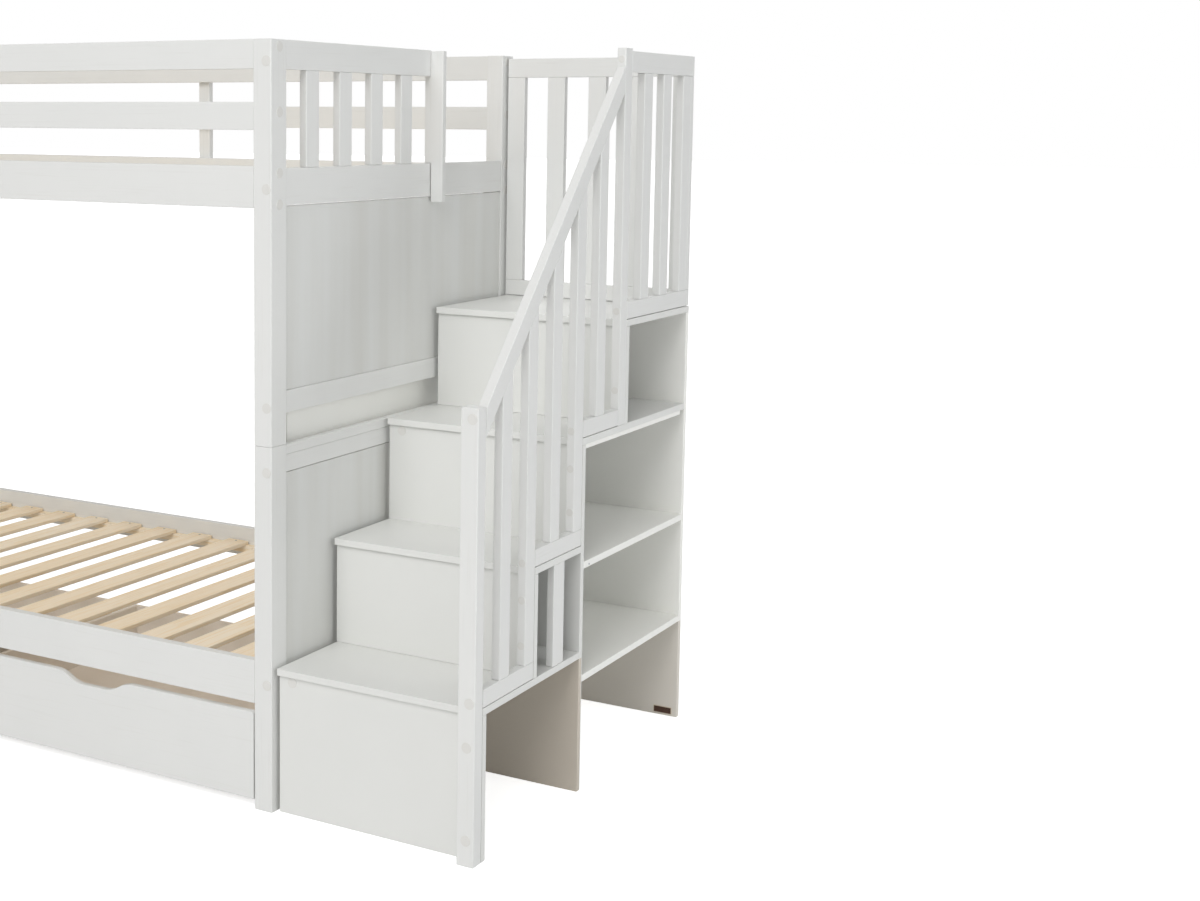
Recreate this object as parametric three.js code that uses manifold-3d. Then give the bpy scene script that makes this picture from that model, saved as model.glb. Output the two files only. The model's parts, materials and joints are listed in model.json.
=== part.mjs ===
// Bunk bed with a storage staircase at one end and two rolling drawers.
// Millimetres, +Z up. +X runs along the bed to the stair end, the open front faces -Y.
// Built with the bed's right front corner at X = 0, Y = 0, then moved so the origin lies
// under the middle of the whole object, on the floor.
import * as THREE from 'three';
import { mergeVertices } from 'three/addons/utils/BufferGeometryUtils.js';
import Module from 'manifold-3d';

const wasm = await Module();
wasm.setup();

// ---- driving dimensions ----
const bedLength = 1970;      // over the end posts
const bedWidth = 1066;       // over the posts, front to back
const bedHeight = 1638;      // top of posts and top rails
const postX = 45;            // post section along the bed
const postY = 55;            // post section across the bed
const stairWidth = 490.2;    // length of the stair treads
const stairGap = 8;          // between bed posts and stair boards
const board = 15;            // stair boards, treads and shelves
const railT = 21;            // side rail thickness
const guardT = 18;           // guard rails, balusters and end rails
const panelT = 11;           // end panels
const drawerW = 896;         // drawer front width
const drawerDepth = 690;     // front face to back of the tray
const slatW = 68;
const slatT = 11;
const slatCount = 14;

const slatPitch = 130;
const trayT = 12;            // drawer box walls and floor
const balusterEnd = 49;      // balusters of the end guards
const balusterStair = 42;    // balusters of the stair guards
const balusterLanding = 47;  // balusters round the landing
const stairRailH = 38;       // bottom rails of the stair guards
const newelX = 38.7;         // lower newel along the bed
const stairGuardX = 19;      // thickness of the stair guards
const newelUpperX = 21;      // thickness of the upper newel and the handrail
const handrailH = 58.9;      // handrail depth, measured upright

// ---- clearances ----
const gap = 0.3;             // between touching pieces
const drawerGap = 3.3;       // beside a drawer front
const nosing = 10;           // tread overhang
const endPlay = 10;          // ledger strips stop short of the posts
const lap = 5;               // how far members run into each other before they are joined

// ---- tied heights ----
const seamZ = bedHeight - 845;                    // lower and upper bed meet here
const topRailH = 61;
const guardTopZ = bedHeight - topRailH;
const midGuardZ = [bedHeight - 186, bedHeight - 128.2];
const upRailZ = [bedHeight - 347, bedHeight - 260];
const lowRailZ = [234.5, 329];
const backRailDrop = 13;                          // back side rails are narrower
const backInset = 18.5;                           // back rails sit in from the posts' back
const endRailZ = [bedHeight - 341.6, bedHeight - 264.3];
const midRailZ = [seamZ + 66, seamZ + 113.8];
const capZ = [seamZ - 22.4, seamZ - 2.4];
const lowEndRailZ = [seamZ - 60.6, capZ[0]];
const slatTopLow = lowRailZ[1] - 49;
const slatTopUp = upRailZ[1] - 55;
const rise = (bedHeight - 688) / 4;
const treadTop = k => 80.5 + rise * k;            // k = 1..4
const riserY1 = 17.6;
const backBoardY = bedWidth - 29;
const landing = 355.4;
const going = (backBoardY - riserY1 - landing) / 3;
const riserY = k => riserY1 + going * (k - 1);    // k = 1..4
const stairX0 = stairGap;
const stairX1 = stairGap + stairWidth;
const landingGuardTop = bedHeight - 8;
const backPostY = bedWidth - postY;
const innerL = -bedLength + postX;                // left posts' inner faces
const innerR = -postX;

// ---- finish ----
const finish = (name, color, roughness) =>
  new THREE.MeshStandardMaterial({ name, color, roughness, metalness: 0 });
const paint = finish('white_paint', 0xeeedea, 0.45);
const inner = finish('white_board', 0xe9e8e4, 0.5);
const pine = finish('natural_pine', 0xe3c89d, 0.6);

// ---- helpers ----
function solid(geo) {
  geo.deleteAttribute('normal');
  geo.deleteAttribute('uv');
  const g = mergeVertices(geo, 1e-4);
  return new wasm.Manifold(new wasm.Mesh({
    numProp: 3,
    vertProperties: new Float32Array(g.attributes.position.array),
    triVerts: new Uint32Array(g.index.array),
  }));
}
function box(x0, x1, y0, y1, z0, z1) {
  const g = new THREE.BoxGeometry(x1 - x0, y1 - y0, z1 - z0);
  g.translate((x0 + x1) / 2, (y0 + y1) / 2, (z0 + z1) / 2);
  return solid(g);
}
function outline(points) {
  const s = new THREE.Shape();
  points.forEach(([a, b], i) => (i ? s.lineTo(a, b) : s.moveTo(a, b)));
  s.closePath();
  return s;
}
// outline in Y and Z, run along X
function prismYZ(points, x0, x1) {
  const g = new THREE.ExtrudeGeometry(outline(points), { depth: x1 - x0, bevelEnabled: false });
  const m = new THREE.Matrix4().set(0, 0, 1, x0, 1, 0, 0, 0, 0, 1, 0, 0, 0, 0, 0, 1);
  return solid(g.applyMatrix4(m));
}
// outline in X and Z, run along Y
function prismXZ(points, y0, y1) {
  const g = new THREE.ExtrudeGeometry(outline(points), { depth: y1 - y0, bevelEnabled: false });
  const m = new THREE.Matrix4().set(1, 0, 0, 0, 0, 0, -1, y1, 0, 1, 0, 0, 0, 0, 0, 1);
  return solid(g.applyMatrix4(m));
}
const join = (...parts) => parts.reduce((a, b) => a.add(b));

const group = new THREE.Group();
group.name = 'bunk_bed_with_stairs';
const midX = (-bedLength + stairX1) / 2;
const newelY0 = -16.1;
const midY = (newelY0 + bedWidth) / 2;
function put(name, body, material) {
  const m = body.getMesh();
  const g = new THREE.BufferGeometry();
  const p = new Float32Array(m.vertProperties.length / m.numProp * 3);
  for (let i = 0; i < p.length / 3; i++) {
    p[3 * i] = m.vertProperties[i * m.numProp] - midX;
    p[3 * i + 1] = m.vertProperties[i * m.numProp + 1] - midY;
    p[3 * i + 2] = m.vertProperties[i * m.numProp + 2];
  }
  g.setAttribute('position', new THREE.BufferAttribute(p, 3));
  g.setIndex(new THREE.BufferAttribute(new Uint32Array(m.triVerts), 1));
  g.computeVertexNormals();
  const mesh = new THREE.Mesh(g, material);
  mesh.name = name;
  group.add(mesh);
}
// evenly spaced uprights between two ends: first start and spacing
function spread(a, b, n, w) {
  const space = (b - a - n * w) / (n + 1);
  return Array.from({ length: n }, (_, i) => a + space + i * (w + space));
}

// ---- corner posts, lower and upper halves ----
for (const [end, x0] of [['right', -postX], ['left', -bedLength]]) {
  for (const [side, y0] of [['front', 0], ['back', backPostY]]) {
    put(`post_${side}_${end}_lower`, box(x0, x0 + postX, y0, y0 + postY, 0, seamZ - gap), paint);
    put(`post_${side}_${end}_upper`, box(x0, x0 + postX, y0, y0 + postY, seamZ, bedHeight), paint);
  }
}

// ---- end frames ----
const endY0 = postY + gap;
const endY1 = backPostY - gap;
const entryShare = 0.624;                          // of the end's width, kept by the short guard
const entryY = endY0 + entryShare * (endY1 - endY0);
const pitchesToEntry = 4.62;                       // baluster pitches in the short guard
const firstPitch = 0.58;
for (const end of ['right', 'left']) {
  // x measured inward from the end's outer face
  const span = (a, b) => (end === 'right' ? [-b, -a] : [-bedLength + a, -bedLength + b]);
  const piece = (a, b, y0, y1, z0, z1) => box(...span(a, b), y0, y1, z0, z1);
  put(`end_${end}_lower_panel`, piece(4, 4 + panelT, endY0, endY1, lowRailZ[0], lowEndRailZ[0] - gap), paint);
  put(`end_${end}_lower_rail`, join(
    piece(2, 1 + guardT, endY0, endY1, lowEndRailZ[0], capZ[0] + 1),
    piece(0.5, 1 + guardT, endY0, endY1, capZ[0], capZ[1])), paint);
  put(`end_${end}_filler`, piece(30, 43, endY0, endY1, capZ[0] - 12, midRailZ[0] + 20), inner);
  put(`end_${end}_mid_rail`, piece(1, 1 + guardT, endY0, endY1, ...midRailZ), paint);
  put(`end_${end}_upper_panel`, piece(4, 4 + panelT, endY0, endY1, midRailZ[1] + gap, endRailZ[0] - gap), paint);
  put(`end_${end}_upper_rail`, piece(1, 1 + guardT, endY0, endY1, ...endRailZ), paint);
  const guardEnd = end === 'right' ? entryY - gap : endY1;
  const pitch = (entryY - endY0) / pitchesToEntry;
  const starts = end === 'right'
    ? [0, 1, 2, 3].map(i => endY0 + (firstPitch + i) * pitch)
    : spread(endY0, endY1, 7, balusterEnd);
  const baluster = y => piece(1, 1 + guardT, y, y + balusterEnd, endRailZ[1] + gap, guardTopZ + lap);
  put(`end_${end}_guard`, join(
    piece(1, 1 + guardT, endY0, guardEnd, guardTopZ, bedHeight),
    ...starts.map(baluster)), paint);
}
// upright at the stair opening: notched over the end rail, stands out past it
const entryT = 16;
const entryX = [-17, 32];
const entryDrop = 14;
put('entry_upright', join(
  box(...entryX, entryY, entryY + entryT, endRailZ[1] + gap, bedHeight - 2),
  box(gap - 1, entryX[1], entryY, entryY + entryT, endRailZ[0] - entryDrop, endRailZ[1] + lap)), paint);

// ---- side rails and guards ----
const rx0 = innerL + gap;
const rx1 = innerR - gap;
const backIn = bedWidth - backInset - railT;
for (const [lvl, z] of [['lower', lowRailZ], ['upper', upRailZ]]) {
  put(`side_rail_front_${lvl}`, box(rx0, rx1, 0.5, 0.5 + railT, ...z), paint);
  put(`side_rail_back_${lvl}`, box(rx0, rx1, backIn, backIn + railT, z[0], z[1] - backRailDrop), paint);
}
const bgY0 = bedWidth - backInset - guardT;
put('guard_front_top', box(rx0, rx1, 1, 1 + guardT, guardTopZ, bedHeight), paint);
put('guard_front_mid', box(rx0, rx1, 1, 1 + guardT, ...midGuardZ), paint);
put('guard_back_top', box(rx0, rx1, bgY0, bgY0 + guardT, guardTopZ, bedHeight), paint);
put('guard_back_mid', box(rx0, rx1, bgY0, bgY0 + guardT, ...midGuardZ), paint);
// upright behind the back rails at mid length
const middle = -bedLength / 2;
const cleatX = [middle - 6, middle + 30];
put('guard_back_cleat', box(...cleatX, bedWidth - backInset + gap, bedWidth - 0.5,
  upRailZ[0] + 9, bedHeight - 10), paint);

// ---- slat bases: ledger strips and slats ----
const slatMargin = 107;                             // post to the first slat
const stretch = (innerR - innerL) / 1880;           // spreads the slats over another length
const ledger = 20;                                  // square strips the slats lie on
const frontIn = 0.5 + railT;
const slatPlay = 6;
for (const [lvl, top] of [['lower', slatTopLow], ['upper', slatTopUp]]) {
  const z0 = top - slatT;
  const strip = (y0, y1) => box(rx0 + endPlay, rx1 - endPlay, y0, y1, z0 - ledger, z0 + 0.5);
  const parts = [strip(frontIn + gap, frontIn + ledger), strip(backIn - ledger, backIn - gap)];
  for (let i = 0; i < slatCount; i++) {
    const x1 = innerR - (slatMargin + i * slatPitch) * stretch;
    parts.push(box(x1 - slatW, x1, frontIn + slatPlay, backIn - slatPlay, z0, top));
  }
  put(`slats_${lvl}`, join(...parts), pine);
}

// ---- two drawers and the board between them ----
const drawerZ = [20, 214.6];
const trayZ = [35, 35 + trayT, 152];               // underside, floor of the tray, wall tops
const trayInset = 3;                               // box sides in from the front's ends
const gripDeep = 24;
const gripTop = 84;                                // half width where the slopes begin
const gripFlat = 50;                               // half width of the grip's floor
const gripR = 10;                                  // rounding into the slopes
const lipDrop = gripR * 0.55;
// one side of the finger grip, from the top edge down to its floor
function gripSide(cx, sx) {
  const top = drawerZ[1];
  const points = [];
  for (let i = 0; i <= 4; i++) {
    const t = i / 4;
    points.push([cx + sx * (gripTop + gripR * (1 - t)), top - lipDrop * t * t]);
  }
  for (let i = 1; i <= 6; i++) {
    const t = i / 6;
    const eased = t * t * (3 - 2 * t);
    points.push([cx + sx * (gripTop - (gripTop - gripFlat) * t), top - lipDrop - (gripDeep - lipDrop) * eased]);
  }
  return points;
}
const cornerR = 8;
function corner(cx, cz, start) {
  return Array.from({ length: 6 }, (_, i) => {
    const a = start + i / 5 * Math.PI / 2;
    return [cx + cornerR * Math.cos(a), cz + cornerR * Math.sin(a)];
  });
}
function drawerFront(x0, x1) {
  const [z0, z1] = drawerZ;
  const cx = (x0 + x1) / 2;
  return prismXZ([
    [x0, z0], [x1, z0],
    ...corner(x1 - cornerR, z1 - cornerR, 0),
    ...gripSide(cx, 1), ...gripSide(cx, -1).reverse(),
    ...corner(x0 + cornerR, z1 - cornerR, Math.PI / 2),
  ], 0, board);
}
for (const [name, x1] of [['right', innerR - drawerGap], ['left', innerL + drawerGap + drawerW]]) {
  const x0 = x1 - drawerW;
  put(`drawer_${name}_front`, drawerFront(x0, x1), paint);
  const [tb, tf, tt] = trayZ;
  const [a, b] = [x0 + trayInset, x1 - trayInset];
  const [y0, y1] = [board + gap, drawerDepth];
  put(`drawer_${name}_tray`, join(
    box(a, b, y0, y1, tb, tf),
    box(a, a + trayT, y0, y1, tb, tt),
    box(b - trayT, b, y0, y1, tb, tt),
    box(a, b, y1 - trayT, y1, tb, tt),
    box(a, b, y0, y0 + trayT, tb, tt)), inner);
}
const dividerHalf = bedLength / 2 - postX - 2 * drawerGap - drawerW;
put('drawer_divider', box(middle - dividerHalf, middle + dividerHalf, 1, 1 + board, 0,
  lowRailZ[0] - gap), paint);

// ---- staircase boards ----
const bx = [stairX0, stairX1];
for (const k of [1, 2, 3, 4]) {
  const y = riserY(k);
  const foot = k === 1 || k === 3 ? 0 : treadTop(k - 1) + gap;
  put(`riser_${k}`, box(...bx, y, y + board, foot, treadTop(k) - board - gap), paint);
}
put('back_board', box(...bx, backBoardY, backBoardY + board, 0, treadTop(4) - board - gap), paint);
const treadEnd = [riserY(3) - gap, riserY(3) - gap, backBoardY - gap, backBoardY + board];
const uprightX = [newelX, stairGuardX, stairGuardX, newelUpperX];
for (const k of [1, 2, 3, 4]) {
  const y0 = riserY(k) - nosing;
  const top = treadTop(k);
  // the nosing is notched round the upright that stands in front of the riser
  const notch = box(stairX1 - uprightX[k - 1] - gap, stairX1 + lap, y0 - lap, riserY(k),
    top - board - lap, top + lap);
  put(`tread_${k}`, box(...bx, y0, treadEnd[k - 1], top - board, top).subtract(notch), paint);
}
const shelfY0 = riserY(3) + board + gap;
const shelfStep = (treadTop(3) - board) / 3.05;
const shelfDrop = 8.3;
const shelfZ = [shelfStep - shelfDrop, 2 * shelfStep - shelfDrop];
shelfZ.forEach((z, i) => put(`shelf_${i + 1}`, box(...bx, shelfY0, backBoardY - gap, z, z + board), inner));
put('shelf_cleat', box(stairX1 - 20, stairX1 - 1.5, shelfY0 + 3, backBoardY - 22,
  treadTop(3) - board - 10, treadTop(3) - board - gap), inner);
const barY = riserY(2) + 92;
const barW = 50;
put('window_bar', box(stairX1 - 18, stairX1 - 1, barY, barY + barW,
  treadTop(1) + gap, treadTop(2) - board - gap), paint);

// ---- stair newels, handrail and guards ----
const gx = [stairX1 - stairGuardX, stairX1];
const newelTop = treadTop(4) - 106.7;
const upperY = riserY(4) - 0.6;                    // back of the upper newel
const upperY0 = upperY - 36.5;
put('newel_front', box(stairX1 - newelX, stairX1, newelY0, riserY1 - gap, 0, newelTop), paint);
put('newel_upper', box(stairX1 - newelUpperX, stairX1, upperY0, upperY,
  treadTop(3) + gap, bedHeight - 2), paint);
const ha = riserY1;
const hb = upperY0 - gap;
const hza = newelTop - 3;
const hzb = bedHeight - 43;
const slope = (hzb - hza) / (hb - ha);
const under = y => hza + (y - ha) * slope - handrailH - gap;
put('handrail', prismYZ([[ha, hza], [ha, hza - handrailH], [hb, hzb - handrailH], [hb, hzb]],
  stairX1 - newelUpperX, stairX1), paint);
const upright = (y, z) => prismYZ([[y, z], [y + balusterStair, z],
  [y + balusterStair, under(y + balusterStair)], [y, under(y)]], ...gx);
for (const k of [1, 2, 3]) {
  const y0 = riserY(k) + gap;
  const y1 = (k === 3 ? upperY0 : riserY(k + 1)) - gap;
  const z = treadTop(k) + gap;
  const first = y0 + going * (k === 3 ? 0.289 : 0.307);   // first baluster, as a share of the step
  const parts = [box(...gx, y0, y1, z, z + stairRailH), upright(first, z + stairRailH - lap)];
  if (k < 3) parts.push(upright(y1 - balusterStair, z + stairRailH - lap));
  put(`stair_guard_${k}`, join(...parts), paint);
}

// ---- guards round the landing ----
const landRailH = 47;                              // top rail
const landLow = 40;                                // bottom rail
const landZ = treadTop(4) + gap;
const landUnder = landingGuardTop - landRailH;
const landBackY = [backBoardY - 7, backBoardY - 7 + guardT];
function landingFrame(x, y, starts, along) {
  const rails = [box(...x, ...y, landZ, landZ + landLow), box(...x, ...y, landUnder, landingGuardTop)];
  const uprights = starts.map(at => {
    const run = [at, at + balusterLanding];
    const [ux, uy] = along === 'x' ? [run, y] : [x, run];
    return box(...ux, ...uy, landZ + landLow - lap, landUnder + lap);
  });
  return join(...rails, ...uprights);
}
const sideY = [upperY + gap, landBackY[0] - gap];
const sideStarts = [sideY[0] + 71, sideY[0] + 182, sideY[1] - balusterLanding];
put('landing_side_guard', landingFrame(gx, sideY, sideStarts, 'y'), paint);
const backX = [stairX0 - 2, stairX1];
const backStep = (backX[1] - backX[0] - balusterLanding) / 4;
const backStarts = [0, 1, 2, 3, 4].map(i => backX[0] + i * backStep);
put('landing_back_guard', landingFrame(backX, landBackY, backStarts, 'x'), paint);
export default group;
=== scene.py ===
import json
import math

import bmesh
import bpy
from mathutils import Matrix, Vector

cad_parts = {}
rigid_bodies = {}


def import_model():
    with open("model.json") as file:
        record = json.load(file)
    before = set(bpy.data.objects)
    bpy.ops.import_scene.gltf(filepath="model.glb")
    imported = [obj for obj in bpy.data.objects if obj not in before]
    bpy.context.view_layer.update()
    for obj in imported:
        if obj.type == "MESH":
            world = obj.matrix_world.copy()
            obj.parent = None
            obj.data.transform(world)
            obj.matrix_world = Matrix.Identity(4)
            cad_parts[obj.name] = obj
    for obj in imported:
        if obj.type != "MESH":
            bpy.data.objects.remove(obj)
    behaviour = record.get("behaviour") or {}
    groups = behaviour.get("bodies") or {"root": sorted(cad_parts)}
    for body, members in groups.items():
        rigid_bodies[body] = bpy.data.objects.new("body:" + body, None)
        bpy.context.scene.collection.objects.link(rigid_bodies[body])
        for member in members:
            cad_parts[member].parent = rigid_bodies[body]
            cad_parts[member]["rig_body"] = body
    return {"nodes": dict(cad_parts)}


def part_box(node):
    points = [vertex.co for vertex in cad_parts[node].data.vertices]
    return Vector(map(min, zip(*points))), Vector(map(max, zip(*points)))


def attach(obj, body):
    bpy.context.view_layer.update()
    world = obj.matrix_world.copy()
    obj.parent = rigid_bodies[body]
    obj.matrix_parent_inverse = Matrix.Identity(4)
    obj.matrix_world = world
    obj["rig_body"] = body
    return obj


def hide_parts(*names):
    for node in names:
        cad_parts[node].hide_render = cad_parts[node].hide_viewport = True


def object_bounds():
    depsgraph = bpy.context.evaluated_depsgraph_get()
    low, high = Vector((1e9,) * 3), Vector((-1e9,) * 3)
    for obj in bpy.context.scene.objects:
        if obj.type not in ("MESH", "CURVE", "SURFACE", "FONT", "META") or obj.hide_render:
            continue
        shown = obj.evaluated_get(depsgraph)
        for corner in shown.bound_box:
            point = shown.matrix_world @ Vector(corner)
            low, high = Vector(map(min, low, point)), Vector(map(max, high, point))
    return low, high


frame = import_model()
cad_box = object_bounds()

MM = 0.001
scene = bpy.context.scene
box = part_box

# ---- sizes of what is added or refined here ----
EASE = 1.6 * MM              # sanded edge on every painted timber
BOARD_EASE = 0.9 * MM        # sharper edge on stair boards and panels
SLAT_EASE = 2.2 * MM         # edge of the planed slats
THIN_EASE = 0.4 * MM         # edge of thin board and pressed steel
SEAM = 0.15 * MM             # half the hairline where two timbers butt
SHADOW_GAP = 1.3 * MM        # open joint that reads as a dark line
CAP_STRIP = 20 * MM          # strip on top of the lower end rail
GUARD_RAIL = 61 * MM         # rail over the end balusters
STAIR_RAIL = 38 * MM         # bottom rail of the stair guards
LANDING_LOW = 40 * MM        # bottom rail of the landing guards
LANDING_TOP = 47 * MM        # top rail of the landing guards
SLAT = 11 * MM               # slat thickness
ABOVE_RAIL = 20 * MM         # how far over a bottom rail its balusters are measured


# =====================================================================================
# Materials
# =====================================================================================
def linear(code, alpha=1.0):
    """An sRGB hex colour such as "f2f1ee" as linear RGBA."""
    parts = [int(code[i:i + 2], 16) / 255 for i in (0, 2, 4)]
    return [p / 12.92 if p <= 0.04045 else ((p + 0.055) / 1.055) ** 2.4 for p in parts] + [alpha]


def add(tree, kind, inputs=None, **settings):
    """Adds one node with its settings, its socket values and the links into it."""
    made = tree.nodes.new(kind)
    for name, value in settings.items():
        setattr(made, name, value)
    for name, value in (inputs or {}).items():
        if isinstance(value, bpy.types.NodeSocket):
            tree.links.new(value, made.inputs[name])
        else:
            made.inputs[name].default_value = value
    return made


def material(name):
    """An empty node material with its surface shader: returns material, tree, shader."""
    made = bpy.data.materials.new(name)
    made.use_nodes = True
    tree = made.node_tree
    return made, tree, tree.nodes["Principled BSDF"]


def stretched(tree, axis, along, across, place=None):
    """Object coordinates in which one unit is `along` metres down the grain, `across` over it."""
    if place is None:
        place = add(tree, "ShaderNodeTexCoord").outputs["Object"]
    scale = [1 / across] * 3
    scale[axis] = 1 / along
    return add(tree, "ShaderNodeMapping", {"Vector": place, "Scale": scale}).outputs["Vector"]


def painted_pine(axis):
    """Sprayed satin lacquer over sanded pine: the grain shows as long faint ridges, not as colour."""
    made, tree, shader = material("satin_lacquer_on_pine_" + "xyz"[axis])
    place = add(tree, "ShaderNodeTexCoord").outputs["Object"]
    grain = add(tree, "ShaderNodeTexNoise", {
        "Vector": stretched(tree, axis, 180 * MM, 5 * MM),
        "Scale": 1.0, "Detail": 4.0, "Roughness": 0.6, "Distortion": 0.4})
    cloud = add(tree, "ShaderNodeTexNoise", {
        "Vector": place, "Scale": 1 / (240 * MM), "Detail": 2.0, "Roughness": 0.5})
    tone = add(tree, "ShaderNodeMix", {
        "Factor": cloud.outputs["Fac"], "A": linear("ebebe9"), "B": linear("e5e6e4")},
        data_type="RGBA")
    tinted = grain_tint(tree, tone.outputs["Result"], grain.outputs["Fac"], "dcdbd7", 0.30)
    tree.links.new(tinted, shader.inputs["Base Color"])
    sheen = add(tree, "ShaderNodeMapRange", {
        "Value": grain.outputs["Fac"], "To Min": 0.36, "To Max": 0.52})
    tree.links.new(sheen.outputs["Result"], shader.inputs["Roughness"])
    dust = add(tree, "ShaderNodeTexNoise", {
        "Vector": place, "Scale": 1 / (1.6 * MM), "Detail": 2.0})
    height = add(tree, "ShaderNodeMath", {
        0: grain.outputs["Fac"], 1: dust.outputs["Fac"]}, operation="ADD")
    bump = add(tree, "ShaderNodeBump", {
        "Height": height.outputs["Value"], "Strength": 0.16, "Distance": 0.25 * MM})
    tree.links.new(bump.outputs["Normal"], shader.inputs["Normal"])
    shader.inputs["IOR"].default_value = 1.5
    shader.inputs["Coat Weight"].default_value = 0.12
    shader.inputs["Coat Roughness"].default_value = 0.28
    return made


def grain_tint(tree, colour, fac, code, most):
    """Darkens a colour towards another where the grain is deepest."""
    low = add(tree, "ShaderNodeMapRange", {
        "Value": fac, "From Min": 0.56, "From Max": 0.74, "To Min": 0.0, "To Max": most})
    mixed = add(tree, "ShaderNodeMix", {
        "Factor": low.outputs["Result"], "A": colour, "B": linear(code)}, data_type="RGBA")
    return mixed.outputs["Result"]


def faced_board(name, light, dark, rough, foot=None):
    """White foil-faced board, rolled flat: an even face with a fine pebble and soft clouds of tone.
    Given a foot, the front below its level takes a darker, browner painted shade.
    """
    made, tree, shader = material(name)
    place = add(tree, "ShaderNodeTexCoord").outputs["Object"]
    cloud = add(tree, "ShaderNodeTexNoise", {
        "Vector": place, "Scale": 1 / (320 * MM), "Detail": 3.0, "Roughness": 0.45})
    tone = add(tree, "ShaderNodeMix", {
        "Factor": cloud.outputs["Fac"], "A": linear(light), "B": linear(dark)}, data_type="RGBA")
    if foot:
        # painted shade: the front of the part below the level is coloured darker and browner, standing
        # in for the shade inside the lowest compartment
        node, level, painted_shade_tone = foot
        low, high = box(node)
        at = add(tree, "ShaderNodeSeparateXYZ", {"Vector": place}).outputs
        below = add(tree, "ShaderNodeMath", {0: at["Z"], 1: level}, operation="LESS_THAN")
        front = add(tree, "ShaderNodeMath", {
            0: at["Y"], 1: low.y + 0.8 * (high.y - low.y)}, operation="LESS_THAN")
        inside = add(tree, "ShaderNodeMath", {
            0: below.outputs["Value"], 1: front.outputs["Value"]}, operation="MULTIPLY")
        tone = add(tree, "ShaderNodeMix", {
            "Factor": inside.outputs["Value"], "A": tone.outputs["Result"], "B": linear(painted_shade_tone)},
            data_type="RGBA")
    tree.links.new(tone.outputs["Result"], shader.inputs["Base Color"])
    pebble = add(tree, "ShaderNodeTexNoise", {
        "Vector": place, "Scale": 1 / (1.2 * MM), "Detail": 3.0, "Roughness": 0.55})
    wave = add(tree, "ShaderNodeTexNoise", {
        "Vector": place, "Scale": 1 / (26 * MM), "Detail": 1.0})
    height = add(tree, "ShaderNodeMath", {
        0: pebble.outputs["Fac"], 1: wave.outputs["Fac"]}, operation="ADD")
    bump = add(tree, "ShaderNodeBump", {
        "Height": height.outputs["Value"], "Strength": 0.14, "Distance": 0.2 * MM})
    tree.links.new(bump.outputs["Normal"], shader.inputs["Normal"])
    sheen = add(tree, "ShaderNodeMapRange", {
        "Value": pebble.outputs["Fac"], "To Min": rough - 0.05, "To Max": rough + 0.06})
    tree.links.new(sheen.outputs["Result"], shader.inputs["Roughness"])
    shader.inputs["IOR"].default_value = 1.48
    return made


def rolled_panel_with_painted_streaks(axis):
    """Thin painted panel: roller marks leave soft upright bands in the bump and gloss, and the same
    bands are painted into the colour as streaks of reflection and shade.
    """
    made, tree, shader = material("rolled_paint_with_painted_light_streaks")
    bands = add(tree, "ShaderNodeTexNoise", {
        "Vector": stretched(tree, axis, 1100 * MM, 72 * MM),
        "Scale": 1.0, "Detail": 2.5, "Roughness": 0.55})
    tone = add(tree, "ShaderNodeMapRange", {
        "Value": bands.outputs["Fac"], "From Min": 0.3, "From Max": 0.7})
    # painted reflection and shade: the colour runs between dadad6 and e3e4e2 along the upright bands
    colour = add(tree, "ShaderNodeMix", {
        "Factor": tone.outputs["Result"], "A": linear("dadad6"), "B": linear("e3e4e2")},
        data_type="RGBA")
    tree.links.new(colour.outputs["Result"], shader.inputs["Base Color"])
    fine = add(tree, "ShaderNodeTexNoise", {
        "Vector": stretched(tree, axis, 30 * MM, 1.5 * MM), "Scale": 1.0, "Detail": 2.0})
    height = add(tree, "ShaderNodeMath", {
        0: bands.outputs["Fac"], 1: fine.outputs["Fac"]}, operation="ADD")
    bump = add(tree, "ShaderNodeBump", {
        "Height": height.outputs["Value"], "Strength": 0.15, "Distance": 0.4 * MM})
    tree.links.new(bump.outputs["Normal"], shader.inputs["Normal"])
    sheen = add(tree, "ShaderNodeMapRange", {
        "Value": bands.outputs["Fac"], "To Min": 0.38, "To Max": 0.56})
    tree.links.new(sheen.outputs["Result"], shader.inputs["Roughness"])
    shader.inputs["IOR"].default_value = 1.5
    return made


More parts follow.
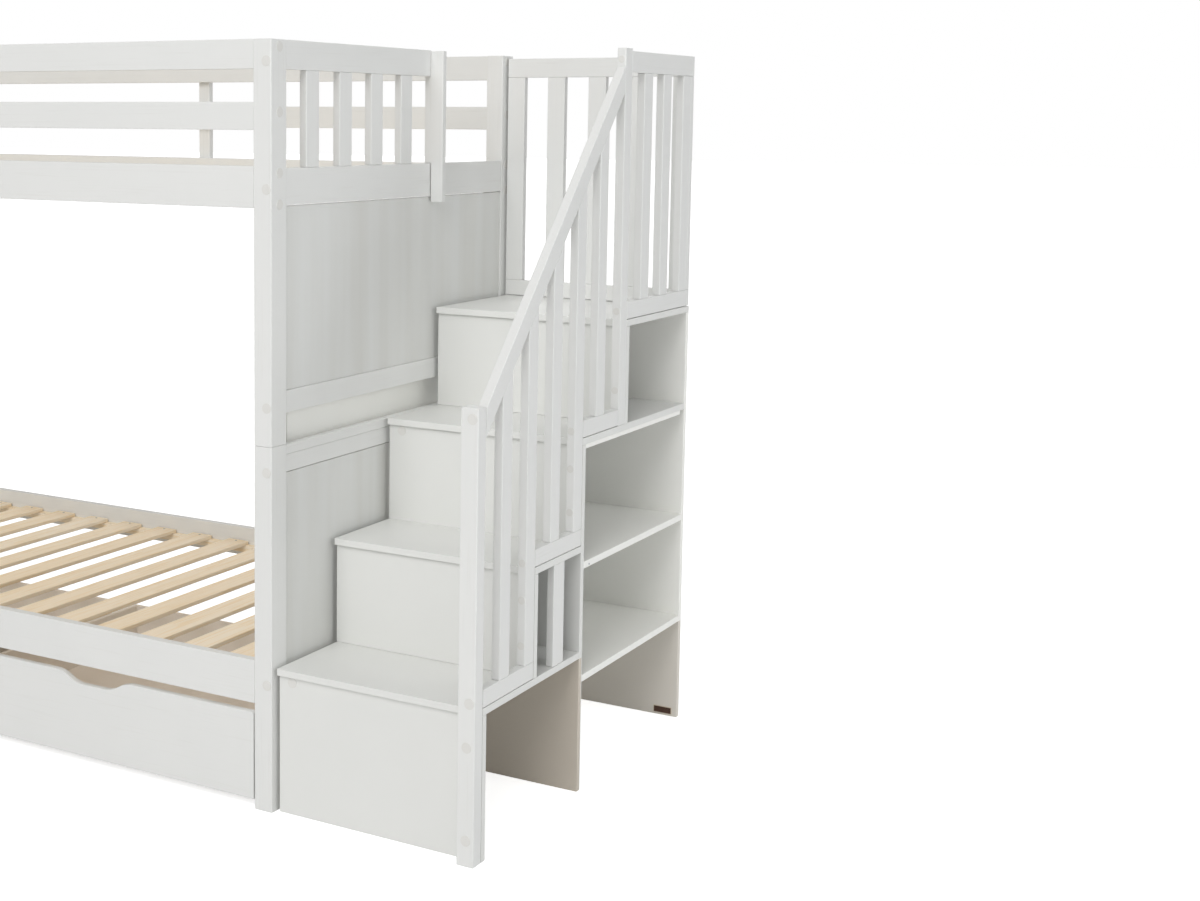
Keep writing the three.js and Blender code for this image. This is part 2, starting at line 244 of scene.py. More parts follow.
def natural_pine(axis, board_pitch=None, board_axis=0, start=0.0):
    """Bare planed pine: cream sapwood with honey growth rings, pores and a few small knots.
    Where boards repeat at a pitch, each one takes another stretch of the pattern and tone."""
    made, tree, shader = material("planed_pine_" + "xyz"[axis])
    place = add(tree, "ShaderNodeTexCoord").outputs["Object"]
    apart = place
    tone_shift = None
    if board_pitch:
        where = add(tree, "ShaderNodeSeparateXYZ", {0: place}).outputs["XYZ"[board_axis]]
        moved = add(tree, "ShaderNodeMath", {0: where, 1: start}, operation="SUBTRACT")
        count = add(tree, "ShaderNodeMath", {0: moved.outputs[0], 1: board_pitch},
                    operation="DIVIDE")
        number = add(tree, "ShaderNodeMath", {0: count.outputs[0]}, operation="FLOOR")
        level = add(tree, "ShaderNodeSeparateXYZ", {0: place}).outputs["Z"]
        upper = add(tree, "ShaderNodeMath", {0: level, 1: 0.8}, operation="GREATER_THAN")
        both = add(tree, "ShaderNodeMath", {0: upper.outputs[0], 1: 37.0, 2: number.outputs[0]},
                   operation="MULTIPLY_ADD")
        tone_shift = add(tree, "ShaderNodeTexWhiteNoise", {"W": both.outputs[0]},
                         noise_dimensions="1D")
        apart = add(tree, "ShaderNodeVectorMath", {
            0: tone_shift.outputs["Color"], 1: (3.0, 3.0, 3.0), 2: place},
            operation="MULTIPLY_ADD").outputs["Vector"]
    rings = add(tree, "ShaderNodeTexNoise", {
        "Vector": stretched(tree, axis, 420 * MM, 13 * MM, apart),
        "Scale": 1.0, "Detail": 1.0, "Roughness": 0.4, "Distortion": 0.5})
    ripple = add(tree, "ShaderNodeMath", {0: rings.outputs["Fac"], 1: 30.0}, operation="MULTIPLY")
    wave = add(tree, "ShaderNodeMath", {0: ripple.outputs[0]}, operation="SINE")
    line = add(tree, "ShaderNodeMapRange", {
        "Value": wave.outputs[0], "From Min": 0.1, "From Max": 1.0, "To Max": 0.75},
        interpolation_type="SMOOTHSTEP")
    wood = add(tree, "ShaderNodeMix", {
        "Factor": line.outputs["Result"], "A": linear("fdefd8"), "B": linear("f6ddb5")},
        data_type="RGBA")
    colour = wood.outputs["Result"]
    if tone_shift:
        warmth = add(tree, "ShaderNodeMapRange", {
            "Value": tone_shift.outputs["Value"], "To Min": 0.0, "To Max": 0.35})
        colour = add(tree, "ShaderNodeMix", {
            "Factor": warmth.outputs["Result"], "A": colour, "B": linear("f6dcb6")},
            data_type="RGBA").outputs["Result"]
    knots = add(tree, "ShaderNodeTexVoronoi", {
        "Vector": stretched(tree, axis, 290 * MM, 170 * MM, apart), "Scale": 1.0})
    eye = add(tree, "ShaderNodeMapRange", {
        "Value": knots.outputs["Distance"], "From Min": 0.02, "From Max": 0.055,
        "To Min": 0.85, "To Max": 0.0}, interpolation_type="SMOOTHSTEP")
    colour = add(tree, "ShaderNodeMix", {
        "Factor": eye.outputs["Result"], "A": colour, "B": linear("8a5a30")},
        data_type="RGBA").outputs["Result"]
    tree.links.new(colour, shader.inputs["Base Color"])
    pores = add(tree, "ShaderNodeTexNoise", {
        "Vector": stretched(tree, axis, 22 * MM, 0.9 * MM, place), "Scale": 1.0, "Detail": 3.0})
    height = add(tree, "ShaderNodeMath", {
        0: pores.outputs["Fac"], 1: wave.outputs[0]}, operation="ADD")
    bump = add(tree, "ShaderNodeBump", {
        "Height": height.outputs["Value"], "Strength": 0.25, "Distance": 0.25 * MM})
    tree.links.new(bump.outputs["Normal"], shader.inputs["Normal"])
    sheen = add(tree, "ShaderNodeMapRange", {
        "Value": line.outputs["Result"], "To Min": 0.62, "To Max": 0.5})
    tree.links.new(sheen.outputs["Result"], shader.inputs["Roughness"])
    shader.inputs["IOR"].default_value = 1.45
    return made


def moulded_plastic(name, code, rough, grit):
    """Injection-moulded plastic: an even colour with a fine spark-eroded grit and a soft gloss."""
    made, tree, shader = material(name)
    place = add(tree, "ShaderNodeTexCoord").outputs["Object"]
    spots = add(tree, "ShaderNodeTexNoise", {"Vector": place, "Scale": 1 / grit, "Detail": 2.0})
    tone = add(tree, "ShaderNodeHueSaturation", {
        "Color": linear(code),
        "Value": add(tree, "ShaderNodeMapRange", {
            "Value": spots.outputs["Fac"], "To Min": 0.96, "To Max": 1.03}).outputs["Result"]})
    tree.links.new(tone.outputs["Color"], shader.inputs["Base Color"])
    bump = add(tree, "ShaderNodeBump", {
        "Height": spots.outputs["Fac"], "Strength": 0.15, "Distance": 0.08 * MM})
    tree.links.new(bump.outputs["Normal"], shader.inputs["Normal"])
    shader.inputs["Roughness"].default_value = rough
    shader.inputs["IOR"].default_value = 1.5
    return made


def zinc_steel():
    """Zinc-plated pressed steel: bright grey with cloudy plating and fine rub marks."""
    made, tree, shader = material("zinc_plated_steel")
    place = add(tree, "ShaderNodeTexCoord").outputs["Object"]
    cloud = add(tree, "ShaderNodeTexNoise", {"Vector": place, "Scale": 1 / (3 * MM), "Detail": 4.0})
    tone = add(tree, "ShaderNodeMix", {
        "Factor": cloud.outputs["Fac"], "A": linear("b9bdc1"), "B": linear("8f9498")},
        data_type="RGBA")
    tree.links.new(tone.outputs["Result"], shader.inputs["Base Color"])
    sheen = add(tree, "ShaderNodeMapRange", {
        "Value": cloud.outputs["Fac"], "To Min": 0.28, "To Max": 0.5})
    tree.links.new(sheen.outputs["Result"], shader.inputs["Roughness"])
    shader.inputs["Metallic"].default_value = 1.0
    return made


PAINT = [painted_pine(axis) for axis in range(3)]
OUTSIDE = ("eaeae7", "e4e5e2", 0.46)     # light tone, dark tone, roughness
# painted light: INSIDE is a lighter copy of the same board, lifted to make up for the shade on the
# shelves, back board and recessed fillers
INSIDE = ("fdfdf9", "fafaf5", 0.52)
STAIR_BOARD = faced_board("foil_faced_board", *OUTSIDE)
SHELF_BOARD = faced_board("foil_faced_board_inside", *INSIDE)
# painted shade: below tread_1 on riser_3 and below shelf_1 on the back board, the fronts take the
# darker, browner colours d2c9bc and e4dfd6 for the shade inside the lowest compartments
RISER_BOARD = faced_board("foil_faced_board_painted_shade_foot", *OUTSIDE,
                          foot=("riser_3", box("tread_1")[0].z, "d2c9bc"))
BACK_BOARD = faced_board("foil_faced_board_inside_painted_shade_foot", *INSIDE,
                         foot=("back_board", box("shelf_1")[0].z, "e4dfd6"))
TRAY_BOARD = faced_board("foil_faced_tray_board", "faf3ea", "f4ece1", 0.5)
PANEL = rolled_panel_with_painted_streaks(2)
CAP_PLASTIC = moulded_plastic("bolt_cover_plastic", "e2e1dd", 0.4, 0.7 * MM)
WHEEL_PLASTIC = moulded_plastic("castor_wheel_nylon", "55585b", 0.45, 0.6 * MM)
PLATE_PLASTIC = moulded_plastic("blank_plate_plastic", "4a2f20", 0.42, 1.1 * MM)
PLATE_RIM = moulded_plastic("blank_plate_rim", "d9cbb6", 0.45, 1.1 * MM)
STEEL = zinc_steel()


# =====================================================================================
# Boards
# =====================================================================================
def ease(bm, edges, radius, segments=3):
    """Rounds the given edges and leaves the broad faces flat."""
    made = bmesh.ops.bevel(bm, geom=list(edges), offset=radius, offset_type="OFFSET",
                           segments=segments, profile=0.5, affect="EDGES",
                           clamp_overlap=True, material=-1)
    for face in made["faces"]:
        face.smooth = True


def longest(size):
    """The axis along which a board is longest, which is the way its grain runs."""
    return max(range(3), key=lambda i: size[i])


def timber(bm, lo, hi, radius=EASE, top=None, grain=None, material_index=None):
    """One board between two corners, added to bm. top(y) sets the height of a raked end."""
    lo, hi = Vector(lo), Vector(hi)
    verts = bmesh.ops.create_cube(bm, size=1.0)["verts"]
    bmesh.ops.scale(bm, vec=hi - lo, verts=verts)
    bmesh.ops.translate(bm, vec=(lo + hi) / 2, verts=verts)
    if top:
        middle = (lo.z + hi.z) / 2
        for vert in verts:
            if vert.co.z > middle:
                vert.co.z = top(vert.co.y)
    if grain is None:
        grain = longest(hi - lo)
    for face in {f for v in verts for f in v.link_faces}:
        face.material_index = grain if material_index is None else material_index
    ease(bm, {e for v in verts for e in v.link_edges}, radius)


def copy_of(node):
    """A frame node's shape with its triangles merged into whole faces."""
    bm = bmesh.new()
    bm.from_mesh(frame["nodes"][node].data)
    bmesh.ops.remove_doubles(bm, verts=bm.verts, dist=0.01 * MM)
    bmesh.ops.dissolve_limit(bm, angle_limit=math.radians(1), verts=bm.verts, edges=bm.edges)
    return bm


def finish_piece(name, bm, materials, body="frame", stands_for=()):
    """Turns a bmesh into a piece that rides on a body and stands for frame nodes."""
    mesh = bpy.data.meshes.new(name)
    bm.to_mesh(mesh)
    bm.free()
    for item in materials:
        mesh.materials.append(item)
    piece = bpy.data.objects.new(name, mesh)
    scene.collection.objects.link(piece)
    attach(piece, body)
    if stands_for:
        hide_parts(*stands_for)


def body_of(node):
    """The moving or fixed body that a frame node belongs to."""
    return frame["nodes"][node]["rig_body"]


def sharp_edges(bm):
    """The edges at which a board's faces meet at more than a slight angle."""
    return [e for e in bm.edges if e.is_manifold and e.calc_face_angle() > math.radians(25)]


def eased_copy(node, materials, radius):
    """A frame node as one finished board. Three materials are the paint along X, Y and Z."""
    bm = copy_of(node)
    low, high = box(node)
    if len(materials) == 3:
        for face in bm.faces:
            face.material_index = longest(high - low)
    ease(bm, sharp_edges(bm), radius)
    finish_piece("board_" + node, bm, materials, body_of(node), [node])


def sections(node, height):
    """Where a level plane cuts a node: (low x, high x, low y, high y) of each upright."""
    bm = copy_of(node)
    bmesh.ops.bisect_plane(bm, geom=bm.verts[:] + bm.edges[:] + bm.faces[:], dist=1e-7,
                           plane_co=(0, 0, height), plane_no=(0, 0, 1),
                           clear_inner=True, clear_outer=True)
    left = set(bm.verts)
    found = []
    while left:
        island, todo = [], [left.pop()]
        while todo:
            vert = todo.pop()
            island.append(vert.co.copy())
            for edge in vert.link_edges:
                other = edge.other_vert(vert)
                if other in left:
                    left.discard(other)
                    todo.append(other)
        xs, ys = [c.x for c in island], [c.y for c in island]
        found.append((min(xs), max(xs), min(ys), max(ys)))
    bm.free()
    return sorted(found)


# ---- plain boards ----
POSTS = [f"post_{side}_{end}_{part}" for side in ("front", "back") for end in ("right", "left")
         for part in ("lower", "upper")]
RAILS = ["side_rail_front_lower", "side_rail_back_lower", "side_rail_front_upper",
         "side_rail_back_upper", "guard_front_top", "guard_front_mid", "guard_back_top",
         "guard_back_mid", "guard_back_cleat", "newel_upper", "handrail", "window_bar"]
for end in ("right", "left"):
    RAILS += [f"end_{end}_mid_rail", f"end_{end}_upper_rail"]
for node in POSTS + RAILS:
    eased_copy(node, PAINT, EASE)
for node in ["riser_1", "riser_2", "riser_4", "drawer_divider",
             "tread_1", "tread_2", "tread_3", "tread_4"]:
    eased_copy(node, [STAIR_BOARD], BOARD_EASE)
for node in ["shelf_1", "shelf_2", "shelf_cleat"]:
    eased_copy(node, [SHELF_BOARD], BOARD_EASE)
eased_copy("riser_3", [RISER_BOARD], BOARD_EASE)
eased_copy("back_board", [BACK_BOARD], BOARD_EASE)


# ---- boards with an open joint beside them ----
def panel(node):
    """An end panel that stops just short of the rail above it."""
    low, high = box(node)
    bm = bmesh.new()
    timber(bm, low, (high.x, high.y, high.z - SHADOW_GAP), BOARD_EASE, material_index=0)
    finish_piece("board_" + node, bm, [PANEL], stands_for=[node])


def front_newel():
    """The lower newel, held off the first riser by its dowels."""
    low, high = box("newel_front")
    bm = bmesh.new()
    timber(bm, low, (high.x, high.y - SHADOW_GAP, high.z))
    finish_piece("board_newel_front", bm, PAINT, stands_for=["newel_front"])


def entry_upright():
    """The upright at the stair opening, notched over the end rail with a little clearance."""
    node = "entry_upright"
    low, _ = box(node)
    bm = copy_of(node)
    inner = min(v.co.x for v in bm.verts if v.co.z < low.z + MM)
    for vert in bm.verts:
        if abs(vert.co.x - inner) < 0.1 * MM:
            vert.co.x += SHADOW_GAP
    for face in bm.faces:
        face.material_index = 2
    ease(bm, sharp_edges(bm), EASE)
    finish_piece("board_" + node, bm, PAINT, stands_for=[node])


for end in ("right", "left"):
    for part in ("lower_panel", "upper_panel"):
        panel(f"end_{end}_{part}")
front_newel()
entry_upright()


# ---- framed parts, each member a separate timber ----
def end_guard(end):
    """Top rail over upright balusters, which butt under it and stand on the end rail."""
    node = f"end_{end}_guard"
    low, high = box(node)
    bm = bmesh.new()
    under = high.z - GUARD_RAIL
    timber(bm, (low.x, low.y, under), high)
    for x0, x1, y0, y1 in sections(node, (low.z + under) / 2):
        timber(bm, (x0 + SEAM, y0, low.z), (x1 - SEAM, y1, under - SEAM))
    finish_piece("balustrade_" + end, bm, PAINT, stands_for=[node])


def lower_end_rail(end):
    """The lower end rail with the strip that caps it."""
    node = f"end_{end}_lower_rail"
    low, high = box(node)
    bm = bmesh.new()
    lip = 1.5 * MM               # how far the strip stands out over the rail
    inside, outside = (low.x, high.x - lip) if end == "right" else (low.x + lip, high.x)
    timber(bm, (low.x, low.y, high.z - CAP_STRIP), high)
    timber(bm, (inside, low.y, low.z), (outside, high.y, high.z - CAP_STRIP - SEAM))
    finish_piece("capped_rail_" + end, bm, PAINT, stands_for=[node])


def filler(end):
    """The recessed board between the two beds, in two lengths with a joint near the front."""
    node = f"end_{end}_filler"
    low, high = box(node)
    joint, half_gap = low.y + 44 * MM, 0.9 * MM
    bm = bmesh.new()
    timber(bm, low, (high.x, joint - half_gap, high.z), BOARD_EASE, material_index=0)
    timber(bm, (low.x, joint + half_gap, low.z), high, BOARD_EASE, material_index=0)
    finish_piece("filler_" + end, bm, [SHELF_BOARD], stands_for=[node])


for end in ("right", "left"):
    end_guard(end)
    lower_end_rail(end)
    filler(end)


def rail_underside(y):
    """Height of the handrail's lower edge at a place along its run."""
    verts = [v.co for v in frame["nodes"]["handrail"].data.vertices]
    near, far = min(v.y for v in verts), max(v.y for v in verts)
    z0 = min(v.z for v in verts if v.y < near + MM)
    z1 = min(v.z for v in verts if v.y > far - MM)
    return z0 + (z1 - z0) * (y - near) / (far - near) - 2 * SEAM


def stair_guard(number):
    """A bottom rail on the tread with raked balusters up to the handrail."""
    node = f"stair_guard_{number}"
    low, high = box(node)
    bm = bmesh.new()
    over = low.z + STAIR_RAIL
    back = high.y - SHADOW_GAP
    timber(bm, (low.x, low.y, low.z + SHADOW_GAP), (high.x, back, over))
    for x0, x1, y0, y1 in sections(node, over + ABOVE_RAIL):
        timber(bm, (x0, y0, over + SEAM), (x1, min(y1, back), high.z), top=rail_underside, grain=2)
    finish_piece(f"stair_balusters_{number}", bm, PAINT, stands_for=[node])


for number in (1, 2, 3):
    stair_guard(number)


def landing_guard(node, name):
    """Two level rails with uprights between them."""
    low, high = box(node)
    bm = bmesh.new()
    over, under = low.z + LANDING_LOW, high.z - LANDING_TOP
    timber(bm, (low.x, low.y, low.z + SHADOW_GAP), (high.x, high.y, over))
    timber(bm, (low.x, low.y, under), high)
    for x0, x1, y0, y1 in sections(node, (over + under) / 2):
        timber(bm, (x0 + SEAM, y0 + SEAM, over + SEAM), (x1 - SEAM, y1 - SEAM, under - SEAM))
    finish_piece(name, bm, PAINT, stands_for=[node])


landing_guard("landing_side_guard", "landing_balusters_side")
landing_guard("landing_back_guard", "landing_balusters_back")


# =====================================================================================
# Round parts
# =====================================================================================
def turned_to(point, direction):
    """A placement whose local Z looks along direction."""
    return Matrix.Translation(point) @ Vector(direction).to_track_quat("Z", "Y").to_matrix().to_4x4()


def screw_head(bm, point, direction, across=7 * MM):
    """A countersunk head with a sunk middle, just proud of the surface."""
    place = turned_to(point + direction * 0.1 * MM, direction)
    disc = bmesh.ops.create_cone(bm, cap_ends=True, segments=16, radius1=across / 2,
                                 radius2=across / 2 - 0.4 * MM, depth=0.6 * MM, matrix=place)
    top = [f for f in {f for v in disc["verts"] for f in v.link_faces}
           if f.normal.dot(direction) > 0.9]
    bmesh.ops.inset_individual(bm, faces=top, thickness=across * 0.27)
    sunk = bmesh.ops.extrude_face_region(bm, geom=top)
    verts = [g for g in sunk["geom"] if isinstance(g, bmesh.types.BMVert)]
    bmesh.ops.delete(bm, geom=top, context="FACES")
    bmesh.ops.translate(bm, vec=-direction * 0.4 * MM, verts=verts)


def cylinder(bm, centre, axis, radius, length, segments=32, round_off=0.0, index=0):
    """A turned piece along an axis, with its rims rounded off."""
    place = turned_to(centre, axis)
    made = bmesh.ops.create_cone(bm, cap_ends=True, segments=segments, radius1=radius,
                                 radius2=radius, depth=length, matrix=place)
    faces = {f for v in made["verts"] for f in v.link_faces}
    for face in faces:
        face.material_index = index
        face.smooth = len(face.verts) == 4
    if round_off:
        rims = {e for f in faces if len(f.verts) > 4 for e in f.edges}
        ease(bm, rims, round_off)


# =====================================================================================
# Slats
# =====================================================================================
def slat_base(level):
    """Slats on two ledger strips, each held by a countersunk screw at both ends."""
    node = f"slats_{level}"
    low, high = box(node)
    slats = sections(node, high.z - SLAT / 2)
    strips = sections(node, (low.z + high.z - SLAT) / 2)
    bm = bmesh.new()
    for x0, x1, y0, y1 in slats:
        timber(bm, (x0, y0, high.z - SLAT), (x1, y1, high.z), SLAT_EASE, material_index=0)
    finish_piece("slat_row_" + level, bm, [PINE_SLAT], stands_for=[node])
    bm = bmesh.new()
    for x0, x1, y0, y1 in strips:
        timber(bm, (x0, y0, low.z), (x1, y1, high.z - SLAT - SEAM), BOARD_EASE, material_index=0)
    finish_piece("ledger_strips_" + level, bm, [PINE_STRIP])
    bm = bmesh.new()
    inset = 14 * MM
    for x0, x1, y0, y1 in slats:
        for y in (y0 + inset, y1 - inset):
            screw_head(bm, Vector(((x0 + x1) / 2, y, high.z)), Vector((0, 0, 1)))
    finish_piece("slat_screws_" + level, bm, [STEEL])


first, second = sections("slats_lower", box("slats_lower")[1].z - SLAT / 2)[:2]
SLAT_PITCH = second[0] - first[0]
SLAT_START = first[0] - (SLAT_PITCH - (first[1] - first[0])) / 2
PINE_SLAT = natural_pine(1, SLAT_PITCH, 0, SLAT_START)
PINE_STRIP = natural_pine(0)
for level in ("lower", "upper"):
    slat_base(level)


# =====================================================================================
# Drawers
# =====================================================================================
GRIP_TOP = 94 * MM           # half width of the finger grip at the top edge
GRIP_LOW = 52 * MM           # half width along its floor
GRIP_DEEP = 24 * MM


def drawer_front(side):
    """A front board with rounded top corners and a finger grip scooped from its top edge."""
    node = f"drawer_{side}_front"
    low, high = box(node)
    mid = (low.x + high.x) / 2
    bm = bmesh.new()
    sheet = bmesh.ops.create_grid(bm, x_segments=1, y_segments=1, size=0.5)["verts"]
    bmesh.ops.scale(bm, vec=(high.x - low.x, high.z - low.z, 1), verts=sheet)
    bmesh.ops.rotate(bm, matrix=Matrix.Rotation(math.pi / 2, 3, "X"), verts=sheet)
    bmesh.ops.translate(bm, vec=(mid, low.y, (low.z + high.z) / 2), verts=sheet)
    for x in (mid - GRIP_TOP, mid - GRIP_LOW, mid + GRIP_LOW, mid + GRIP_TOP):
        bmesh.ops.bisect_plane(bm, geom=bm.verts[:] + bm.edges[:] + bm.faces[:],
                               plane_co=(x, 0, 0), plane_no=(1, 0, 0))
    for vert in bm.verts:
        if vert.co.z > high.z - MM and abs(vert.co.x - mid) < GRIP_LOW + MM:
            vert.co.z -= GRIP_DEEP
    bmesh.ops.dissolve_faces(bm, faces=bm.faces[:])
    corners = [v for v in bm.verts if v.co.z > high.z - MM and abs(v.co.x - mid) > GRIP_TOP + MM]
    bmesh.ops.bevel(bm, geom=corners, offset=8 * MM, offset_type="OFFSET", segments=6,
                    profile=0.5, affect="VERTICES", material=-1)
    bends = [v for v in bm.verts if abs(v.co.x - mid) < GRIP_TOP + MM and v.co.z > low.z + 50 * MM]
    bmesh.ops.bevel(bm, geom=bends, offset=19 * MM, offset_type="OFFSET", segments=8,
                    profile=0.5, affect="VERTICES", material=-1)
    grown = bmesh.ops.extrude_face_region(bm, geom=bm.faces[:])
    verts = [g for g in grown["geom"] if isinstance(g, bmesh.types.BMVert)]
    bmesh.ops.translate(bm, vec=(0, high.y - low.y, 0), verts=verts)
    bmesh.ops.recalc_face_normals(bm, faces=bm.faces[:])
    rim = [e for e in bm.edges if e.calc_face_angle() > math.radians(50)]
    for face in bm.faces:
        face.smooth = len(face.verts) == 4 and abs(face.normal.y) < 0.1
    ease(bm, rim, EASE)
    finish_piece(f"drawer_front_{side}", bm, [PAINT[0]], body_of(node), stands_for=[node])


def drawer_tray(side):
    """Four walls and a thin floor let into them, with two battens under it."""
    node = f"drawer_{side}_tray"
    low, high = box(node)
    wall, sheet = 12 * MM, 5 * MM
    batten_wide, batten_high = 40 * MM, 7 * MM
    bm = bmesh.new()
    for x0 in (low.x, high.x - wall):
        timber(bm, (x0, low.y, low.z), (x0 + wall, high.y, high.z), BOARD_EASE, material_index=0)
    for y0 in (low.y, high.y - wall):
        timber(bm, (low.x + wall + SEAM, y0, low.z), (high.x - wall - SEAM, y0 + wall, high.z),
               BOARD_EASE, material_index=0)
    floor_z = low.z + batten_high
    timber(bm, (low.x + wall + SEAM, low.y + wall + SEAM, floor_z),
           (high.x - wall - SEAM, high.y - wall - SEAM, floor_z + sheet), THIN_EASE,
           material_index=0)
    for share in (0.25, 0.75):
        x = low.x + (high.x - low.x) * share
        timber(bm, (x - batten_wide / 2, low.y + wall + SEAM, low.z),
               (x + batten_wide / 2, high.y - wall - SEAM, floor_z - SEAM), BOARD_EASE,
               material_index=0)
    finish_piece(f"drawer_box_{side}", bm, [TRAY_BOARD], body_of(node), [node])


WHEEL_R = 14 * MM
WHEEL_W = 12 * MM


def castors(side):
    """Four fixed castors under the tray: a nylon wheel on a pin in a pressed fork."""
    node = f"drawer_{side}_tray"
    low, high = box(node)
    bm = bmesh.new()
    plate, sheet = 34 * MM, 1.5 * MM
    inset = 60 * MM
    for x in (low.x + inset, high.x - inset):
        for y in (low.y + inset, high.y - inset):
            centre = Vector((x, y, WHEEL_R))
            cylinder(bm, centre, (1, 0, 0), WHEEL_R, WHEEL_W, 32, 1.5 * MM, 0)
            cylinder(bm, centre, (1, 0, 0), 3 * MM, WHEEL_W + 8 * MM, 16, 0.5 * MM, 1)
            timber(bm, (x - plate / 2, y - plate / 2, low.z - sheet - SEAM),
                   (x + plate / 2, y + plate / 2, low.z - SEAM), THIN_EASE, material_index=1)
            for side_x in (x - WHEEL_W / 2 - 3 * MM, x + WHEEL_W / 2 + 3 * MM - sheet):
                timber(bm, (side_x, y - 9 * MM, WHEEL_R - 5 * MM),
                       (side_x + sheet, y + 9 * MM, low.z - sheet - 2 * SEAM), THIN_EASE,
                       material_index=1)
    finish_piece(f"castors_{side}", bm, [WHEEL_PLASTIC, STEEL], body_of(node))


for side in ("right", "left"):
    drawer_front(side)
    drawer_tray(side)
    castors(side)


# =====================================================================================
# Bolt covers, blank plate
# =====================================================================================
CAP_R = 11 * MM
SMALL_CAP_R = 8 * MM
END_DROPS = (15, 148.5, 274, 339)       # covers on the end faces, mm below the post's top
LONG_DROPS = (45, 307)                  # covers on the long faces, mm below the post's top


def bolt_cover(bm, point, direction, radius=CAP_R):
    """A round cover pressed over a bolt head, slightly domed at the rim."""
    direction = Vector(direction)
    cylinder(bm, Vector(point) + direction * 0.3 * MM, direction, radius, 1.4 * MM, 28, 0.5 * MM)


def post_covers():
    """Rows of covers on the outer faces of the corner posts, the same on all four."""
    bm = bmesh.new()
    for side in ("front", "back"):
        for end in ("right", "left"):
            low, _ = box(f"post_{side}_{end}_lower")
            up_low, high = box(f"post_{side}_{end}_upper")
            out_x = 1 if end == "right" else -1
            out_y = -1 if side == "front" else 1
            face_x = high.x if end == "right" else low.x
            face_y = low.y if side == "front" else high.y
            along_x = face_x - out_x * 12.5 * MM
            along_y = face_y - out_y * 30 * MM
            seam = up_low.z
            for drop in END_DROPS:
                bolt_cover(bm, (face_x, along_y, high.z - drop * MM), (out_x, 0, 0))
            heights = [high.z - drop * MM for drop in LONG_DROPS]
            heights += [seam + 82 * MM, seam - 55 * MM, 279 * MM]
            for z in heights:
                bolt_cover(bm, (along_x, face_y, z), (0, out_y, 0))
    finish_piece("post_bolt_covers", bm, [CAP_PLASTIC])


def stair_covers():
    """Covers on the stair's front faces, where boards and uprights are bolted together."""
    bm = bmesh.new()
    front = Vector((0, -1, 0))
    low, high = box("newel_front")
    for inset, z in ((13, high.z - 22 * MM), (13, 335 * MM), (18, 245 * MM), (18, 54 * MM)):
        bolt_cover(bm, (high.x - inset * MM, low.y, z), front)
    for number in (1, 3):
        low, high = box(f"riser_{number}")
        bolt_cover(bm, (low.x + 33 * MM, low.y, high.z - 12.5 * MM), front)
    for number, drops in ((1, (238, 160, 64)), (2, (242, 160, 65))):
        low, high = box(f"stair_guard_{number}")
        stile = sections(f"stair_guard_{number}", low.z + STAIR_RAIL + ABOVE_RAIL)[-1]
        foot = low.z + STAIR_RAIL - 22 * MM
        for rise in drops:
            bolt_cover(bm, ((stile[0] + stile[1]) / 2, stile[2], foot + rise * MM), front,
                       SMALL_CAP_R)
    low, high = box("newel_upper")
    for z in (high.z - 25 * MM, low.z + 259 * MM, low.z + 80 * MM):
        bolt_cover(bm, ((low.x + high.x) / 2, low.y, z), front, SMALL_CAP_R)
    finish_piece("stair_bolt_covers", bm, [CAP_PLASTIC])


def shelf_screw():
    """The fixing seen on the edge of the upper shelf."""
    low, high = box("shelf_2")
    bm = bmesh.new()
    screw_head(bm, Vector((high.x, low.y + 27 * MM, low.z + 5 * MM)), Vector((1, 0, 0)), 5 * MM)
    finish_piece("shelf_screw", bm, [STEEL])


def blank_plate():
    """A small blank plate with a pale rim, low on the back board."""
    low, high = box("back_board")
    wide, tall, thick = 48 * MM, 18 * MM, 1.2 * MM
    x1 = high.x - 13 * MM
    z0 = 5 * MM
    bm = bmesh.new()
    timber(bm, (x1 - wide, low.y - thick, z0), (x1, low.y + 0.2 * MM, z0 + tall), 0.5 * MM,
           material_index=0)
    rim = 1.6 * MM
    timber(bm, (x1 - wide + rim, low.y - thick - 0.5 * MM, z0 + rim),
           (x1 - rim, low.y - thick + 0.1 * MM, z0 + tall - rim), 0.25 * MM, material_index=1)
    finish_piece("blank_plate", bm, [PLATE_RIM, PLATE_PLASTIC])


post_covers()
stair_covers()
shelf_screw()
blank_plate()


# =====================================================================================
# Stage, light and camera
# =====================================================================================
FLOOR_GLOW = (0.68, 1.0)     # glow of the floor, near and far, in the camera's view only


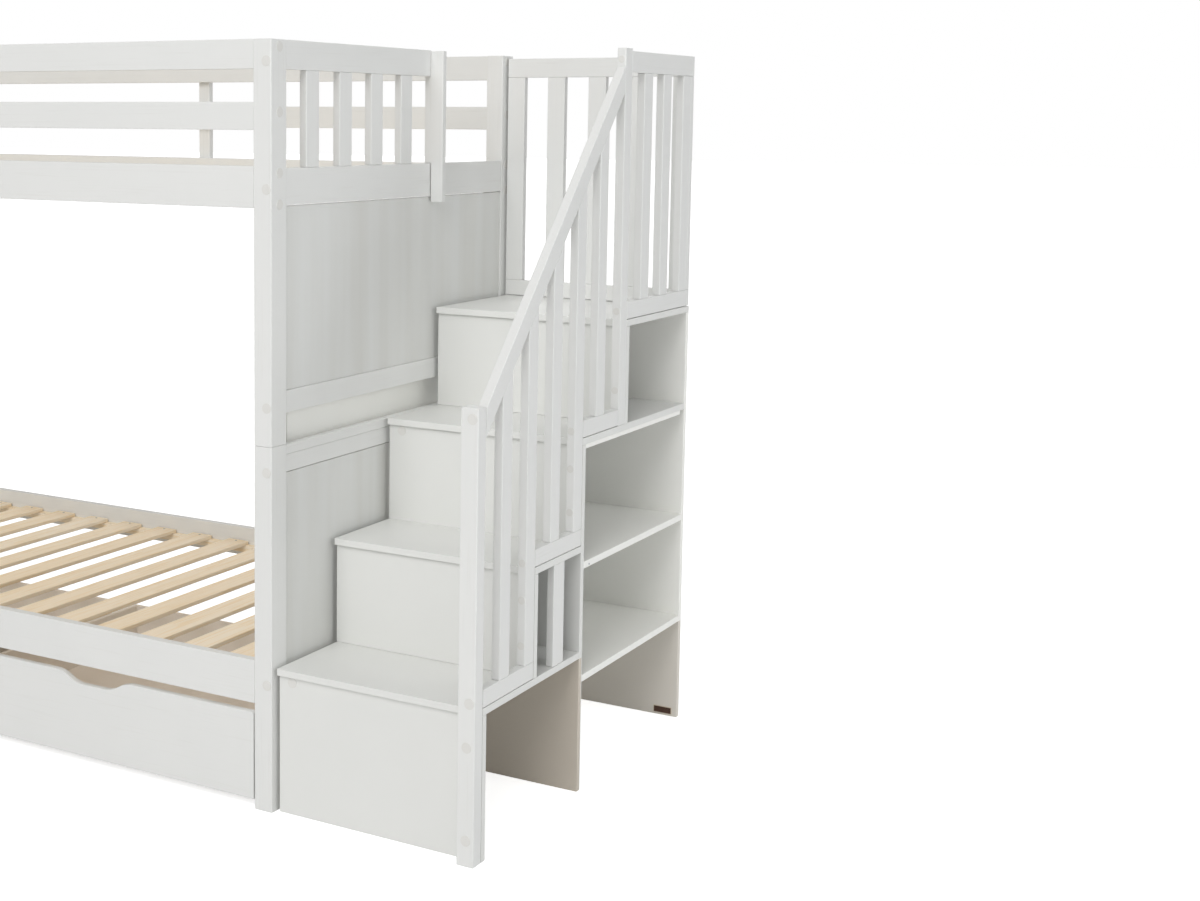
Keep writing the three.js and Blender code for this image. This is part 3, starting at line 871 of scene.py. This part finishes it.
def floor():
    """A wide pale floor that pales to plain white away from the object, so no horizon shows."""
    made, tree, shader = material("pale_studio_floor")
    place = add(tree, "ShaderNodeTexCoord").outputs["Object"]
    soft = add(tree, "ShaderNodeTexNoise", {"Vector": place, "Scale": 0.6, "Detail": 2.0})
    tone = add(tree, "ShaderNodeMix", {
        "Factor": soft.outputs["Fac"], "A": linear("fbfbfb"), "B": linear("f8f8f8")},
        data_type="RGBA")
    tree.links.new(tone.outputs["Result"], shader.inputs["Base Color"])
    shader.inputs["Roughness"].default_value = 0.9
    shader.inputs["Specular IOR Level"].default_value = 0.1
    low, high = cad_box
    span = [2 / (high.x - low.x), 2 / (high.y - low.y), 1.0]
    shrunk = add(tree, "ShaderNodeVectorMath", {0: place, 1: span}, operation="MULTIPLY")
    reach = add(tree, "ShaderNodeVectorMath", {0: shrunk.outputs[0]}, operation="LENGTH")
    pale = add(tree, "ShaderNodeMapRange", {
        "Value": reach.outputs["Value"], "From Min": 1.4, "From Max": 6.0,
        "To Min": FLOOR_GLOW[0], "To Max": FLOOR_GLOW[1]}, interpolation_type="SMOOTHSTEP")
    seen = add(tree, "ShaderNodeLightPath").outputs["Is Camera Ray"]
    lift = add(tree, "ShaderNodeMath", {0: pale.outputs["Result"], 1: seen}, operation="MULTIPLY")
    tree.links.new(lift.outputs["Value"], shader.inputs["Emission Strength"])
    shader.inputs["Emission Color"].default_value = (1.0, 1.0, 1.0, 1.0)
    bm = bmesh.new()
    bmesh.ops.create_grid(bm, x_segments=1, y_segments=1, size=60)
    mesh = bpy.data.meshes.new("floor")
    bm.to_mesh(mesh)
    bm.free()
    mesh.materials.append(made)
    ground = bpy.data.objects.new("floor", mesh)
    scene.collection.objects.link(ground)


def softbox(name, at, aim, size, power, colour=(1.0, 1.0, 1.0)):
    """A square soft light that faces a point."""
    data = bpy.data.lights.new(name, "AREA")
    data.shape = "SQUARE"
    data.size = size
    data.energy = power
    data.color = colour
    lamp = bpy.data.objects.new(name, data)
    lamp.location = at
    lamp.rotation_euler = (Vector(aim) - Vector(at)).to_track_quat("-Z", "Y").to_euler()
    scene.collection.objects.link(lamp)


def studio():
    """Even daylight all round, with soft lamps in front, above, behind and beside the stairs."""
    world = bpy.data.worlds.new("studio")
    world.use_nodes = True
    tree = world.node_tree
    soft = tree.nodes["Background"]
    soft.inputs["Color"].default_value = (1.0, 0.995, 0.985, 1.0)
    soft.inputs["Strength"].default_value = 0.30
    paper = add(tree, "ShaderNodeBackground", {"Color": (1.0, 1.0, 1.0, 1.0), "Strength": 1.0})
    seen = add(tree, "ShaderNodeLightPath").outputs["Is Camera Ray"]
    both = add(tree, "ShaderNodeMixShader", {
        "Fac": seen, 1: soft.outputs["Background"], 2: paper.outputs["Background"]})
    tree.links.new(both.outputs["Shader"], tree.nodes["World Output"].inputs["Surface"])
    scene.world = world
    softbox("front", (2.0, -9.6, 7.2), (0.2, 0, 0.7), 6.6, 660)
    softbox("overhead", (0.3, -0.5, 5.5), (0.2, 0, 0), 4.0, 30)
    softbox("side", (9.5, 0.0, 3.4), (0.8, 0.2, 0.6), 5.5, 232, (0.96, 0.98, 1.0))
    softbox("rear", (-2.0, 8.5, 5.5), (-0.3, 0, 0.6), 6.0, 230)
    scene.view_settings.view_transform = "Standard"


CAMERA_AT = (2.817, -3.469, 1.473)
HEADING = math.radians(31.55)
LOOK_DOWN = math.radians(6.45)
ROLL = math.radians(-0.36)


def camera():
    """Stands at eye height in front of the stairs and looks back along the bed."""
    data = bpy.data.cameras.new("camera")
    data.sensor_width = 36
    data.lens = 52.5
    data.shift_x = 0.18
    data.shift_y = -0.11
    eye = bpy.data.objects.new("camera", data)
    turn = Matrix.Rotation(HEADING, 4, "Z") @ Matrix.Rotation(math.pi / 2 - LOOK_DOWN, 4, "X")
    eye.matrix_world = Matrix.Translation(CAMERA_AT) @ turn @ Matrix.Rotation(-ROLL, 4, "Z")
    scene.collection.objects.link(eye)
    scene.camera = eye


floor()
studio()
camera()
